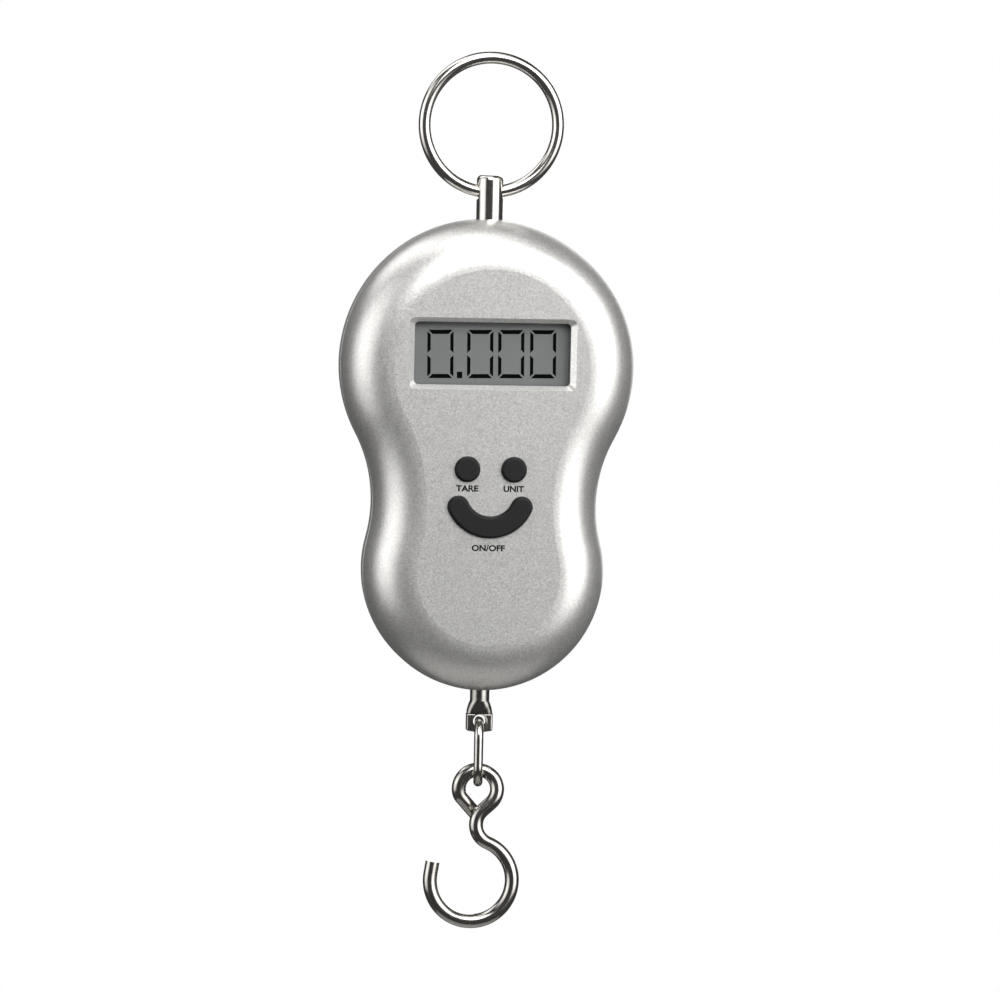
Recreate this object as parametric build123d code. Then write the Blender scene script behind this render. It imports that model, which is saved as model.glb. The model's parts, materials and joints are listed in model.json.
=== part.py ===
from build123d import *
import math
import os

os.makedirs("parts", exist_ok=True)

# Digital luggage scale, hanging upright: x to the right seen from the front, front face
# towards -y, z up. The origin is the inner top of the hand ring, where a finger pulls.
# All sizes in mm.

# ---------------------------------------------------------------- hand ring and post
ring_od = 30.0            # standard key-ring size
ring_wire = 2.5
post_d = 5.5
post_bore_play = 0.3      # radial room round the ring wire in the post
post_above_bore = 3.45
post_showing = 5.55       # from the cross bore down to the casing

# ---------------------------------------------------------------- casing
lobe_top_r = 30.1         # big round top of the peanut outline
lobe_low_r = 24.7         # smaller round bottom
lobe_gap = 41.9           # between the two lobe centres
waist_r = 29.0            # hollow arcs at the waist
front_depth = 12.0        # from the load axis forward
rear_depth = 13.0         # from the load axis back
front_round = 10.0        # big edge rounding of the front half
rear_round = 9.0
wall = 1.8
seam_chamfer = 0.25
lip_inset = 0.95          # tongue-and-rebate joint between the halves
lip_high = 1.0
lip_play = 0.1
front_boss_d = 5.6        # case screw bosses
rear_boss_d = 6.6
board_boss_d = 4.2
cell_boss_d = 6.0
head_room_d = 4.9         # counterbore for a case screw's head

# ---------------------------------------------------------------- display
window_w = 32.0
window_h = 12.8
window_below_lobe = -2.9  # window centre above the top lobe centre
bevel_w = 34.3
bevel_h = 14.6
bevel_deep = 1.0
window_corner = 0.9
bevel_corner = 1.3
lens_corner = 1.5
lens_w = 36.0
lens_h = 16.0
lens_t = 0.9
tape_t = 0.1
glass_w = 36.0
glass_h = 18.0
glass_t = 1.8
film_t = 0.15
lcd_holder_wall = 0.8
strip_high = 1.6          # conductive rubber strips
lcd_stand = 1.85          # board to glass

# ---------------------------------------------------------------- circuit board
board_edge_room = 2.1     # board edge to the inner wall at the waist
board_t = 1.0
board_top_drop = 12.6     # casing top down to the board
board_long = 53.6
board_screw_x = 15.5

# ---------------------------------------------------------------- keys and switches
key_d = 5.0
key_play = 0.15           # radial room round each key
key_proud = 1.0
key_x = 4.77
key_drop = 20.6           # key row below the top lobe centre
key_flange = 0.95
key_lip = 0.9             # flange past the key all round
key_round = 0.45          # rounding of the front edge
key_stem_d = 3.4
smile_r = 7.13            # centre line of the curved power key
smile_drop = 25.3
smile_half_span = 65.7    # degrees each side of straight down
smile_wide = 4.2
switch_w = 4.5
switch_h = 2.9
switch_cover_t = 0.15
plunger_d = 2.4
plunger_up = 0.5

# ---------------------------------------------------------------- load cell
cell_w = 19.0
cell_t = 7.0
cell_high = 26.0
cell_room = 2.4           # casing's inner top down to the cell
cell_arm = 6.6
cell_slot = 1.2
cell_pocket_d = 8.4
cell_web = 2.2
cell_screw_x = 7.0
stud_d = 3.9
collar_high = 1.5         # hex collar of the ring post
collar_r = 4.2
lock_washer_t = 0.6
lock_washer_d = 7.4

# ---------------------------------------------------------------- pull rod, link and hook
rod_d = 4.0
rod_play = 0.05           # rod in the cell arm
clip_t = 0.6
washer_t = 0.5
clip_d = 6.4
washer_d = 6.8
clip_groove = 0.5         # groove under the clip, depth
rod_showing = 6.5         # casing bottom down to the link hole
rod_end_w = 5.4
rod_end_t = 2.4
rod_hole = 2.7
rod_end_below_hole = 2.3
paddle_sag_r = 10.5       # bulge of the pressed end's bottom edge
link_wire = 1.9
link_half_w = 3.5
link_long = 12.65
link_turn = -6.5          # link hangs turned about the load axis
hook_wire = 2.9
hook_rest_play = 0.1      # eye wire resting over the link wire
eye_r = 3.9
bowl_r = 8.5
bowl_shift = -1.15        # bowl centre off the load axis
bowl_drop = 18.85         # eye centre down to the bowl centre
bowl_start = 171.0        # angle where the bowl's arc ends below the tip
tip_long = 2.55           # straight wire above the bowl's arc
bend_start = 67.3         # angle where the bowl turns back into the shank
bend_r = 4.0
eye_set_back = 1.2        # far side of the eye behind its near side
tail_side = 192.0         # angle where the eye leaves its circle for the tail
tail_long = 5.0

# ---------------------------------------------------------------- batteries and bay
battery_d = 10.5          # AAA
battery_can_long = 43.5
battery_nub = 1.0
battery_x = 6.5
battery_door_room = 0.05  # cell to the door
spring_long = 2.3
plate_t = 0.3
bay_wall = 1.2
bay_drop = 3.0            # load cell down to the bay
bay_floor_y = -0.6
rod_tunnel_d = 5.0
door_w = 26.0
door_arc_r = 14.5         # round lower end of the door, about the low lobe centre
door_play = 0.15
door_corner = 1.6
door_above_bay = 1.5
tab_deep = 1.1            # door tabs, under the casing wall

# ---------------------------------------------------------------- screws
case_screw_d = 2.5
cell_screw_d = 2.4
board_screw_d = 1.7
screw_play = 0.05

# ---------------------------------------------------------------- heights that follow
ring_mid_r = (ring_od - ring_wire) / 2
ring_z = -(ring_od / 2 - ring_wire)
bore_z = ring_z - ring_mid_r
casing_top = bore_z - post_showing
lobe_top_z = casing_top - lobe_top_r
lobe_low_z = lobe_top_z - lobe_gap
reach_top = lobe_top_r + waist_r
reach_low = lobe_low_r + waist_r
waist_drop = (reach_top**2 - reach_low**2 + lobe_gap**2) / (2 * lobe_gap)
waist_out = math.sqrt(reach_top**2 - waist_drop**2)
board_w = 2 * (waist_out - waist_r - wall - board_edge_room)
casing_low = lobe_low_z - lobe_low_r
face_y = -front_depth
back_y = rear_depth
face_in = face_y + wall
back_in = back_y - wall
window_z = lobe_top_z - window_below_lobe
lens_front = face_in + tape_t
film_front = face_in + 1.1
glass_front = film_front + film_t
glass_back = glass_front + glass_t
board_front = glass_back + lcd_stand
board_back = board_front + board_t
board_top = casing_top - board_top_drop
board_low = board_top - board_long
board_mid = (board_top + board_low) / 2
board_screws = [
    (side * board_screw_x, z)
    for side in (-1, 1)
    for z in (board_top - 2.0, board_low + 3.5)
]
key_z = lobe_top_z - key_drop
smile_z = lobe_top_z - smile_drop
smile_low = smile_z - smile_r
cell_top = casing_top - wall - cell_room
cell_low = cell_top - cell_high
cell_mid = (cell_top + cell_low) / 2
cell_screw_z = cell_top - cell_arm / 2
battery_y = back_in - battery_d / 2 - battery_door_room
bay_top = cell_low - bay_drop
bay_in_top = bay_top - bay_wall
bay_in_long = battery_can_long + battery_nub + spring_long + 2 * plate_t
bay_in_low = bay_in_top - bay_in_long
bay_low = bay_in_low - bay_wall
bay_half_in = battery_x + battery_d / 2 + 0.35
bay_half = bay_half_in + 2.3
door_top = bay_top + door_above_bay
case_screws = [
    (side * x, z)
    for side in (-1, 1)
    for x, z in ((22.0, lobe_top_z), (17.5, lobe_low_z - 4.2))
]
case_seat_y = back_y - 4.6
link_hole_z = casing_low - rod_showing
link_low_z = link_hole_z - link_long
eye_top_z = link_low_z + link_wire / 2 + hook_wire / 2 + hook_rest_play
bowl_z = eye_top_z - eye_r - bowl_drop


# ---------------------------------------------------------------- drawing helpers
def slab(shape, y_back, y_front):
    """Shape drawn in x and z, made solid from y_back forward to y_front."""
    placed = Pos(0, y_back, 0) * (Plane.XZ * shape)
    return extrude(placed, amount=y_back - y_front, dir=(0, -1, 0))


def pin(x, z, d, y_back, y_front):
    """Round bar along y."""
    return slab(Pos(x, z) * Circle(d / 2), y_back, y_front)


def block(x0, x1, y0, y1, z0, z1):
    """Box between two corners."""
    middle = Pos((x0 + x1) / 2, (y0 + y1) / 2, (z0 + z1) / 2)
    return middle * Box(abs(x1 - x0), abs(y1 - y0), abs(z1 - z0))


def post(x, y, d, z_top, z_low):
    """Round bar along z."""
    return Pos(x, y, (z_top + z_low) / 2) * Cylinder(d / 2, z_top - z_low)


def bar_x(y, z, d, x0, x1):
    """Round bar along x."""
    return Pos((x0 + x1) / 2, y, z) * Rot(0, 90, 0) * Cylinder(d / 2, x1 - x0)


def front_edges(solid):
    """Edges nearest the front."""
    return solid.edges().group_by(Axis.Y)[0]


def back_edges(solid):
    """Edges nearest the back."""
    return solid.edges().group_by(Axis.Y)[-1]


def outline(inset):
    """Peanut outline of the casing, moved in by inset."""
    r_top = lobe_top_r - inset
    r_low = lobe_low_r - inset
    r_waist = waist_r + inset
    waist_z = lobe_top_z - waist_drop
    x1 = waist_out * r_top / reach_top
    z1 = lobe_top_z - waist_drop * r_top / reach_top
    x2 = waist_out * r_low / reach_low
    z2 = lobe_low_z + (lobe_gap - waist_drop) * r_low / reach_low
    return make_face(
        [
            ThreePointArc((-x1, z1), (0, lobe_top_z + r_top), (x1, z1)),
            ThreePointArc((x1, z1), (waist_out - r_waist, waist_z), (x2, z2)),
            ThreePointArc((x2, z2), (0, lobe_low_z - r_low), (-x2, z2)),
            ThreePointArc((-x2, z2), (r_waist - waist_out, waist_z), (-x1, z1)),
        ]
    )


def front_half(inset, y_start):
    """Solid front half, every outer surface moved in by inset."""
    body = slab(outline(inset), y_start, face_y + inset)
    return fillet(front_edges(body), front_round - inset)


def rear_half(inset, y_start):
    """Solid rear half, every outer surface moved in by inset."""
    body = slab(outline(inset), back_y - inset, y_start)
    return fillet(back_edges(body), rear_round - inset)


def door_shape(grow):
    """Battery door outline, grown by grow."""
    half = door_w / 2 + grow
    arc = door_arc_r + grow
    side_z = lobe_low_z - math.sqrt(arc**2 - half**2)
    face = make_face(
        [
            Line((-half, door_top + grow), (half, door_top + grow)),
            Line((half, door_top + grow), (half, side_z)),
            ThreePointArc((half, side_z), (0, lobe_low_z - arc), (-half, side_z)),
            Line((-half, side_z), (-half, door_top + grow)),
        ]
    )
    return fillet(face.vertices(), door_corner + grow)


def smile_shape(wide):
    """Curved band of the power key, wide across."""
    start = -90 - smile_half_span
    line = CenterArc((0, smile_z), smile_r, start, 2 * smile_half_span)
    return SlotArc(arc=line, height=wide)


def screw(x, z, d, seat, tip, head_d, head_high, head_side):
    """Pan-head screw along y with a cross recess; head_side -1 has its head in front."""
    top = seat + head_side * head_high
    lo, hi = min(seat, top), max(seat, top)
    head = pin(x, z, head_d, hi, lo)
    rim = front_edges(head) if head_side < 0 else back_edges(head)
    head = fillet(rim, head_high * 0.55)
    body = head + pin(x, z, d, max(seat, tip), min(seat, tip))
    deep = head_high * 0.55
    arm = head_d * 0.28
    slot = head_d * 0.07
    floor = top - head_side * deep
    y0, y1 = min(floor, top + head_side), max(floor, top + head_side)
    body -= block(x - arm, x + arm, y0, y1, z - slot, z + slot)
    body -= block(x - slot, x + slot, y0, y1, z - arm, z + arm)
    return body


def wire(points, radii, d):
    """Insulated wire along a bent path."""
    path = FilletPolyline(*points, radius=radii)
    return sweep(Plane(path @ 0, z_dir=path % 0) * Circle(d / 2), path=path)


def save(name, *solids):
    """One file per named piece."""
    shapes = [s for item in solids for s in item.solids()]
    whole = shapes[0] if len(shapes) == 1 else Compound(children=shapes)
    whole.label = name
    export_step(whole, f"parts/{name}.step")


# ---------------------------------------------------------------- hand ring
hand_ring = Pos(0, 0, ring_z) * Rot(90, 0, 0) * Torus(ring_mid_r, ring_wire / 2)
save("hand_ring", hand_ring)

# ---------------------------------------------------------------- ring post
# Round post with a countersunk cross bore, a hex collar inside the casing and a stud
# screwed into the top arm of the load cell.
collar_low = cell_top + lock_washer_t
ring_post = post(0, 0, post_d, bore_z + post_above_bore, collar_low)
ring_post = fillet(ring_post.edges().group_by(Axis.Z)[-1], 1.0)
hex_face = RegularPolygon(collar_r, 6)
ring_post += Pos(0, 0, collar_low) * extrude(hex_face, amount=collar_high)
ring_post += post(0, 0, stud_d, collar_low, cell_top - cell_arm + 0.3)
bore_r = ring_wire / 2 + post_bore_play
ring_post -= bar_x(0, bore_z, 2 * bore_r, -post_d, post_d)
for side in (-1, 1):
    sink = Cone(bore_r, bore_r + 0.75, 0.9)
    ring_post -= Pos(side * (post_d / 2), 0, bore_z) * Rot(0, side * 90, 0) * sink
save("ring_post", ring_post)

lock_washer = post(0, 0, lock_washer_d, collar_low, cell_top)
lock_washer -= post(0, 0, stud_d + 0.3, collar_low, cell_top)
lock_washer -= block(0, 5, -0.35, 0.35, cell_top, collar_low)
save("lock_washer", lock_washer)

# ---------------------------------------------------------------- front cover
front_skin = front_half(0, 0)
front_skin = chamfer(back_edges(front_skin), seam_chamfer)
front_cover = front_skin - front_half(wall, 1.0)
front_cover -= slab(outline(lip_inset), 1.0, -(lip_high + lip_play))
boss_zone = front_half(wall * 0.6, 0)
bosses = None
for x, z in case_screws:
    boss = pin(x, z, front_boss_d, 0, face_y)
    bosses = boss if bosses is None else bosses + boss
for x, z in board_screws:
    bosses += pin(x, z, board_boss_d, board_front, face_y)
front_cover += bosses & boss_zone
for x, z in case_screws:
    front_cover -= pin(x, z, case_screw_d + 2 * screw_play, 1, face_in + 2.4)
for x, z in board_screws:
    front_cover -= pin(x, z, board_screw_d + 2 * screw_play, board_front + 1, face_in + 0.4)
# lens seat and bevelled display window
front_cover -= slab(
    Pos(0, window_z) * RectangleRounded(lens_w + 0.2, lens_h + 0.2, lens_corner + 0.1),
    face_in + 1.2,
    face_in,
)
front_cover -= slab(
    Pos(0, window_z) * RectangleRounded(window_w, window_h, window_corner), face_in + 0.5, face_y - 1
)
bevel_back = Pos(0, face_y + bevel_deep, 0) * (
    Plane.XZ * Pos(0, window_z) * RectangleRounded(window_w, window_h, window_corner)
)
bevel_front = Pos(0, face_y - 0.001, 0) * (
    Plane.XZ * Pos(0, window_z) * RectangleRounded(bevel_w, bevel_h, bevel_corner)
)
front_cover -= loft(Sketch() + [bevel_back, bevel_front])
# key openings
for side in (-1, 1):
    front_cover -= pin(side * key_x, key_z, key_d + 2 * key_play, face_in + 1, face_y - 1)
front_cover -= slab(smile_shape(smile_wide + 2 * key_play), face_in + 1, face_y - 1)
# half openings for the post and the rod
front_cover -= post(0, 0, post_d + 0.3, casing_top + 2, casing_top - 4)
front_cover -= post(0, 0, rod_d + 0.4, casing_low + 4, casing_low - 2)
save("front_cover", front_cover)

# ---------------------------------------------------------------- rear cover
rear_skin = rear_half(0, 0)
rear_skin = chamfer(front_edges(rear_skin), seam_chamfer)
rear_cover = rear_skin - rear_half(wall, -1.0)
tongue = slab(outline(lip_inset + lip_play), 0.5, -lip_high) - slab(outline(wall), 1.0, -3.0)
rear_cover += tongue
rear_zone = rear_half(wall * 0.6, -2)
bosses = None
for x, z in case_screws:
    boss = pin(x, z, rear_boss_d, back_y, 0)
    bosses = boss if bosses is None else bosses + boss
for side in (-1, 1):
    bosses += pin(side * cell_screw_x, cell_screw_z, cell_boss_d, back_y, cell_t / 2)
rear_cover += bosses & rear_zone
# battery bay: cradle floor, side and end walls
bay = block(-bay_half, bay_half, bay_floor_y, back_in - 0.1, bay_low, bay_top)
bay += block(-bay_half, -door_w / 2 - door_play, 0, back_in + 0.4, bay_low, bay_top)
bay += block(door_w / 2 + door_play, bay_half, 0, back_in + 0.4, bay_low, bay_top)
bay -= block(-bay_half_in, bay_half_in, battery_y, back_y, bay_in_low, bay_in_top)
for side in (-1, 1):
    bay -= post(side * battery_x, battery_y, battery_d + 0.4, bay_in_top, bay_in_low)
    # slot for each contact tail, and room for the door tabs to swing
    tail_x = side * 3.5
    bay -= block(tail_x - 0.8, tail_x + 0.8, 6.2, 7.2, bay_in_top - 1, bay_top + 1)
bay -= block(-bay_half_in, bay_half_in, 9.0, back_y, bay_in_top - 1, bay_top + 1)
rear_cover += bay & rear_zone
rear_cover -= post(0, 0, rod_tunnel_d, bay_top + 1, bay_low - 1)
rear_cover -= slab(door_shape(door_play), back_y + 1, back_in - 0.1)
for x, z in case_screws:
    rear_cover -= pin(x, z, case_screw_d + 2 * screw_play, back_y, -2)
    rear_cover -= pin(x, z, head_room_d, back_y + 1, case_seat_y)
for side in (-1, 1):
    hole_d = cell_screw_d + 2 * screw_play
    rear_cover -= pin(side * cell_screw_x, cell_screw_z, hole_d, back_in - 1.2, 0)
rear_cover -= post(0, 0, post_d + 0.3, casing_top + 2, casing_top - 4)
rear_cover -= post(0, 0, rod_d + 0.4, casing_low + 4, casing_low - 2)
save("rear_cover", rear_cover)

# ---------------------------------------------------------------- battery door
door = slab(door_shape(0), back_y, back_in)
door = chamfer(back_edges(door), 0.3)
for k in range(4):
    z = lobe_low_z - 2.0 - 2.2 * k
    door -= slab(Pos(0, z) * SlotOverall(11.0, 1.1), back_y + 1, back_y - 0.45)
for side in (-1, 1):
    x0 = side * 8.0 - 2.2
    x1 = side * 8.0 + 2.2
    door += block(x0, x1, back_in - tab_deep, back_in, door_top - 0.9, door_top - 0.1)
    door += block(x0, x1, back_in - tab_deep, back_in - 0.1, door_top - 0.5, door_top + 1.6)
door += block(-3.0, 3.0, back_in - 1.6, back_in, bay_low - 1.3, bay_low - 0.2)
save("battery_door", door)

# ---------------------------------------------------------------- display
lens_face = RectangleRounded(lens_w, lens_h, lens_corner)
lens = slab(Pos(0, window_z) * lens_face, lens_front + lens_t, lens_front)
save("lcd_lens", lens)
tape = lens_face - RectangleRounded(window_w + 0.6, window_h + 0.4, window_corner + 0.1)
save("lens_tape", slab(Pos(0, window_z) * tape, lens_front, face_in))
save("lcd_glass", slab(Pos(0, window_z) * Rectangle(glass_w, glass_h), glass_back, glass_front))
film_high = glass_h - 2 * strip_high - 0.8
save(
    "lcd_films",
    slab(Pos(0, window_z) * Rectangle(glass_w - 1, film_high), glass_front, film_front),
    slab(Pos(0, window_z) * Rectangle(glass_w - 1, film_high), glass_back + film_t, glass_back),
)
strip_z = glass_h / 2 - 0.2 - strip_high / 2
save(
    "elastomer_strips",
    *[
        slab(
            Pos(0, window_z + side * strip_z) * Rectangle(glass_w - 1.6, strip_high),
            board_front,
            glass_back,
        )
        for side in (-1, 1)
    ],
)
holder = Rectangle(glass_w + 0.2 + 2 * lcd_holder_wall, glass_h + 0.2 + 2 * lcd_holder_wall)
holder -= Rectangle(glass_w + 0.2, glass_h + 0.2)
save("lcd_holder", slab(Pos(0, window_z) * holder, board_front, glass_front + 0.1))

# ---------------------------------------------------------------- circuit board
board = slab(Pos(0, board_mid) * RectangleRounded(board_w, board_long, 2.0), board_back, board_front)
for x, z in board_screws:
    board -= pin(x, z, board_screw_d + 0.3, board_back + 1, board_front - 1)
save("circuit_board", board)

blob = pin(0, board_low + 22.0, 9.0, board_back + 1.1, board_back)
blob = fillet(back_edges(blob), 0.9)
save("chip_blob", blob)

chips = [
    (-12.5, 12.0, 2.0, 1.2, 0.6),
    (-12.5, 15.0, 2.0, 1.2, 0.6),
    (-9.0, 12.0, 1.6, 0.8, 0.5),
    (-9.0, 14.0, 1.6, 0.8, 0.5),
    (-9.0, 16.0, 1.6, 0.8, 0.5),
    (9.5, 12.0, 2.0, 1.2, 0.6),
    (9.5, 15.0, 2.0, 1.2, 0.6),
    (13.0, 13.0, 1.6, 0.8, 0.5),
    (13.0, 15.0, 1.6, 0.8, 0.5),
    (13.0, 26.0, 3.0, 1.5, 0.9),
]
save(
    "board_chips",
    *[
        block(x - w / 2, x + w / 2, board_back, board_back + t, board_low + up, board_low + up + h)
        for x, up, w, h, t in chips
    ],
)
can_z = board_low + 29.5
crystal = bar_x(board_back + 1.0, can_z, 2.0, -15.0, -9.0)
crystal = fillet(crystal.edges().group_by(Axis.X)[0], 0.4)
save("crystal", crystal)

# ---------------------------------------------------------------- keys and switches
stem_back = board_front - switch_h - switch_cover_t - plunger_up
flange_front = face_in + 0.05
flange_back = flange_front + key_flange


def round_key(x):
    """Round key with its flange and stem."""
    cap = pin(x, key_z, key_d, flange_front, face_y - key_proud)
    cap = fillet(front_edges(cap), key_round)
    cap += pin(x, key_z, key_d + 2 * key_lip, flange_back, flange_front)
    cap += pin(x, key_z, key_stem_d, stem_back, flange_back)
    return cap


save("tare_key", round_key(-key_x))
save("unit_key", round_key(key_x))

power_cap = slab(smile_shape(smile_wide), flange_front, face_y - key_proud)
power_cap = fillet(front_edges(power_cap), key_round)
power_key = power_cap + slab(
    smile_shape(smile_wide + 2 * key_lip), flange_back, flange_front
)
power_key += pin(0, smile_low, key_stem_d, stem_back, flange_back)
save("power_key", power_key)

switch_spots = {
    "tare": (-key_x, key_z),
    "unit": (key_x, key_z),
    "power": (0, smile_low),
}
base_front = board_front - switch_h
bases = []
covers = []
for x, z in switch_spots.values():
    base = slab(Pos(x, z) * Rectangle(switch_w, switch_w), board_front, base_front)
    base -= pin(x, z, plunger_d + 0.2, base_front + 1.4, base_front - 1)
    bases.append(base)
    plate = slab(
        Pos(x, z) * RectangleRounded(switch_w, switch_w, 0.5), base_front, base_front - switch_cover_t
    )
    plate -= pin(x, z, plunger_d + 0.1, base_front + 1, base_front - 1)
    covers.append(plate)
save("switch_bases", *bases)
save("switch_covers", *covers)
for name, (x, z) in switch_spots.items():
    plunger = pin(x, z, plunger_d, base_front + 1.0, stem_back)
    save(f"{name}_plunger", plunger)

# ---------------------------------------------------------------- load cell
half = cell_w / 2
load_cell = block(-half, half, -cell_t / 2, cell_t / 2, cell_low, cell_top)
load_cell = chamfer(load_cell.edges().filter_by(Axis.Y), 0.5)
slot_hi = cell_top - cell_arm
slot_lo = cell_low + cell_arm
load_cell -= block(-half + 3.6, half + 1, -cell_t, cell_t, slot_hi - cell_slot, slot_hi)
load_cell -= block(-half - 1, half - 3.6, -cell_t, cell_t, slot_lo, slot_lo + cell_slot)
load_cell -= pin(0, cell_mid, cell_pocket_d, -cell_web / 2, -cell_t)
load_cell -= pin(0, cell_mid, cell_pocket_d, cell_t, cell_web / 2)
load_cell -= post(0, 0, stud_d + 2 * screw_play, cell_top + 1, slot_hi - 0.1)
for side in (-1, 1):
    load_cell -= pin(side * cell_screw_x, cell_screw_z, cell_screw_d + 0.3, cell_t, -cell_t)
arm_floor = cell_low + 2.4
load_cell -= block(-4.0, 4.0, -cell_t, cell_t, arm_floor, arm_floor + 2.6)
load_cell -= post(0, 0, rod_d + 2 * rod_play, arm_floor + 1, cell_low - 1)
save("load_cell", load_cell)

gauges = []
sealants = []
for side in (-1, 1):
    foil = Pos(0, side * (cell_web / 2 + 0.1), cell_mid) * Rot(0, 45, 0) * Box(5.0, 0.2, 5.0)
    near = side * cell_web / 2
    far = side * (cell_t / 2 - 0.2)
    fill = pin(0, cell_mid, cell_pocket_d, max(near, far), min(near, far))
    gauges.append(foil)
    sealants.append(fill - foil)
save("strain_gauges", *gauges)
save("gauge_sealant", *sealants)

# ---------------------------------------------------------------- pull rod
rod_top = arm_floor + 2.1
clip_low = arm_floor + washer_t
clip_high = clip_low + clip_t
press_top = casing_low - 2.3
press_low = casing_low - 4.9
pull_rod = post(0, 0, rod_d, rod_top, press_top)
pull_rod = chamfer(pull_rod.edges().group_by(Axis.Z)[-1], 0.3)
groove = post(0, 0, rod_d + 1, clip_high + 0.02, clip_low - 0.02)
groove -= post(0, 0, rod_d - 2 * clip_groove, clip_high + 0.02, clip_low - 0.02)
pull_rod -= groove
neck_mid = Pos(0, 0, press_top - 1.1) * SlotOverall(rod_end_w - 0.55, rod_d - 0.7)
neck_low = Pos(0, 0, press_low) * SlotOverall(rod_end_w, rod_end_t)
pull_rod += loft(Sketch() + [Pos(0, 0, press_top) * Circle(rod_d / 2), neck_mid, neck_low])
paddle_low = link_hole_z - rod_end_below_hole
paddle_mid = (press_low + paddle_low) / 2
paddle = Pos(0, paddle_mid) * Rectangle(rod_end_w, press_low - paddle_low)
paddle &= Pos(0, paddle_low + paddle_sag_r) * Circle(paddle_sag_r)
paddle = fillet(paddle.vertices().group_by(Axis.Y)[0], 0.4)
paddle = slab(paddle, rod_end_t / 2, -rod_end_t / 2)
paddle = fillet(back_edges(paddle), 0.4)
paddle = fillet(front_edges(paddle), 0.4)
pull_rod += paddle
pull_rod -= pin(0, link_hole_z, rod_hole, rod_end_t, -rod_end_t)
for side in (-1, 1):
    sink = Cone(rod_hole / 2, rod_hole / 2 + 0.3, 0.3)
    place = Pos(0, side * (rod_end_t / 2 - 0.15), link_hole_z)
    pull_rod -= place * Rot(-side * 90, 0, 0) * sink
save("pull_rod", pull_rod)

clip = post(0, 0, clip_d, clip_high, clip_low)
clip -= post(0, 0, rod_d - 2 * clip_groove + 0.04, clip_high, clip_low)
clip -= block(0, 4, -1.1, 1.1, clip_low, clip_high)
save("rod_clip", clip)
washer = post(0, 0, washer_d, clip_low, arm_floor)
washer -= post(0, 0, rod_d + 0.1, clip_low, arm_floor)
save("thrust_washer", washer)

# ---------------------------------------------------------------- link
arc_top = link_hole_z - link_half_w
arc_low = link_low_z + link_half_w
link_path = Wire(
    [
        ThreePointArc((0, -link_half_w, arc_top), (0, 0, link_hole_z), (0, link_half_w, arc_top)),
        Line((0, link_half_w, arc_top), (0, link_half_w, arc_low)),
        ThreePointArc((0, link_half_w, arc_low), (0, 0, link_low_z), (0, -link_half_w, arc_low)),
        Line((0, -link_half_w, arc_low), (0, -link_half_w, arc_top)),
    ]
)
link_section = Pos(0, -link_half_w, arc_top) * Circle(link_wire / 2)
link = Rot(0, 0, link_turn) * sweep(link_section, path=link_path)
save("link", link)

# ---------------------------------------------------------------- hook
# One bent wire: tip, bowl, a short reverse bend, the eye wound a little backwards, and the
# tail tucked behind the shank.
def on_arc(centre, radius, degrees, back=0.0):
    """Point of an arc, measured from the bowl centre and the plane of the bowl."""
    turn = math.radians(degrees)
    x = bowl_shift + centre[0] + radius * math.cos(turn)
    z = bowl_z + centre[1] + radius * math.sin(turn)
    return Vector(x, hook_y + back, z)


def wind(start, before, degrees, length, back):
    """Arc that carries on from another wire towards a direction in x and z."""
    turn = math.radians(degrees)
    far = start + Vector(length * math.cos(turn), back, length * math.sin(turn))
    return TangentArc(start, far, tangent=before)


bowl = (0.0, 0.0)
eye = (-bowl_shift, bowl_drop)
bend_reach = bowl_r + bend_r
bend = (
    bend_reach * math.cos(math.radians(bend_start)),
    bend_reach * math.sin(math.radians(bend_start)),
)
# the straight run leaves the bend and meets the eye square to both radii
gap_x = eye[0] - bend[0]
gap_z = eye[1] - bend[1]
run = math.degrees(math.atan2(-gap_x, gap_z))
run += math.degrees(math.acos((eye_r + bend_r) / math.hypot(gap_x, gap_z)))
# the eye's top hangs on the load axis, so the bowl sits a little to the front
hook_y = -eye_set_back * (1 - math.cos(math.radians(180 - run))) / 2
bowl_line = ThreePointArc(
    on_arc(bowl, bowl_r, bowl_start),
    on_arc(bowl, bowl_r, -110),
    on_arc(bowl, bowl_r, bend_start),
)
tip_line = Line(bowl_line @ 0 - (bowl_line % 0) * tip_long, bowl_line @ 0)
bend_line = ThreePointArc(
    on_arc(bend, bend_r, bend_start + 180),
    on_arc(bend, bend_r, (bend_start + 270 + run) / 2),
    on_arc(bend, bend_r, run + 90),
)
run_line = Line(on_arc(bend, bend_r, run + 90), on_arc(eye, eye_r, run - 90))
eye_far = on_arc(eye, eye_r, run + 90, eye_set_back)
eye_line = TangentArc(run_line @ 1, eye_far, tangent=run_line % 1)
side_end = on_arc(eye, eye_r, tail_side, eye_set_back + 0.35)
side_line = TangentArc(eye_far, side_end, tangent=eye_line % 1)
turn_line = wind(side_end, side_line % 1, tail_side + 105, 1.25, 0.3)
tail_line = Line(turn_line @ 1, turn_line @ 1 + (turn_line % 1) * tail_long)
hook_path = Wire(
    [tip_line, bowl_line, bend_line, run_line, eye_line, side_line, turn_line, tail_line]
)
hook_section = Plane(origin=tip_line @ 0, z_dir=tip_line % 0) * Circle(hook_wire / 2)
hook = sweep(hook_section, path=hook_path)
save("hook", hook)

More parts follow.
